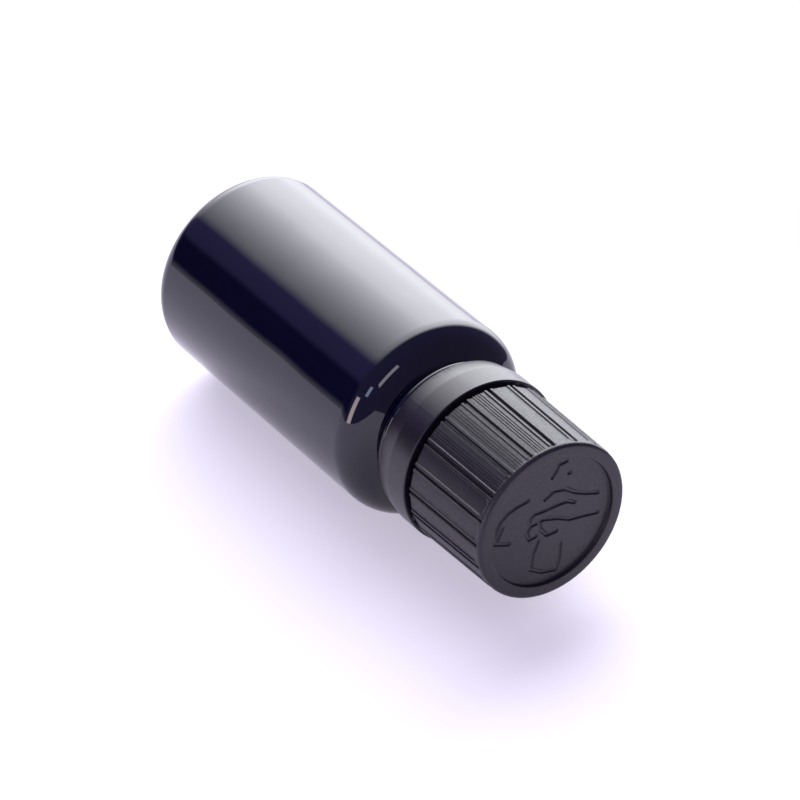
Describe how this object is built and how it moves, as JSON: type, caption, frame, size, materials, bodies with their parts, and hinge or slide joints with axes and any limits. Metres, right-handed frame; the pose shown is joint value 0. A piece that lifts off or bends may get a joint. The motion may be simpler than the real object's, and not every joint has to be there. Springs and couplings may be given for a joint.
{
  "type": "ink bottle",
  "caption": "Small round dark glass ink bottle with a dropper insert, a tamper-evident band and a two-piece push-and-turn screw cap.",
  "frame": {"origin": "centre of the base, on the surface that the standing bottle rests on", "axes": "+Z along the bottle's axis towards the cap; the bottle is round, so X and Y are free"},
  "size_m": [0.027, 0.027, 0.0697],
  "materials": {
    "violet_glass": "fire-polished, nearly opaque violet-black",
    "natural_polyethylene": "moulded, waxy, milky",
    "white_foam": "foamed sheet, fine matte",
    "black_polypropylene_inner": "moulded, satin",
    "black_polypropylene_cap": "moulded, fine spark-eroded texture",
    "black_polypropylene_band": "moulded, satin"
  },
  "bodies": {
    "bottle": {"glass_bottle": "violet_glass", "dropper_insert": "natural_polyethylene"},
    "liner": {"sealing_liner": "white_foam"},
    "inner_cap": {"inner_cap": "black_polypropylene_inner"},
    "outer_cap": {"outer_cap": "black_polypropylene_cap"},
    "tamper_band": {"tamper_band": "black_polypropylene_band"}
  },
  "joints": [
    {"name": "band_spin", "type": "hinge", "parent": "bottle", "child": "tamper_band", "pos_m": [0, 0, 0.0515], "axis": [0, 0, 1], "continuous": true},
    {"name": "cap_lift", "type": "slide", "parent": "bottle", "child": "liner", "axis": [0, 0, 1], "range_m": [0, 0.0091]},
    {"name": "cap_turn", "type": "hinge", "parent": "liner", "child": "inner_cap", "pos_m": [0, 0, 0.0648], "axis": [0, 0, 1], "range_deg": [0, 1080]},
    {"name": "cap_push", "type": "slide", "parent": "inner_cap", "child": "outer_cap", "axis": [0, 0, -1], "range_m": [0, 0.0006], "stiffness_N_per_m": 2000}
  ],
  "couplings": [
    {"joint": "cap_lift", "follows": "cap_turn", "m_per_rad": 0.00047746}
  ]
}
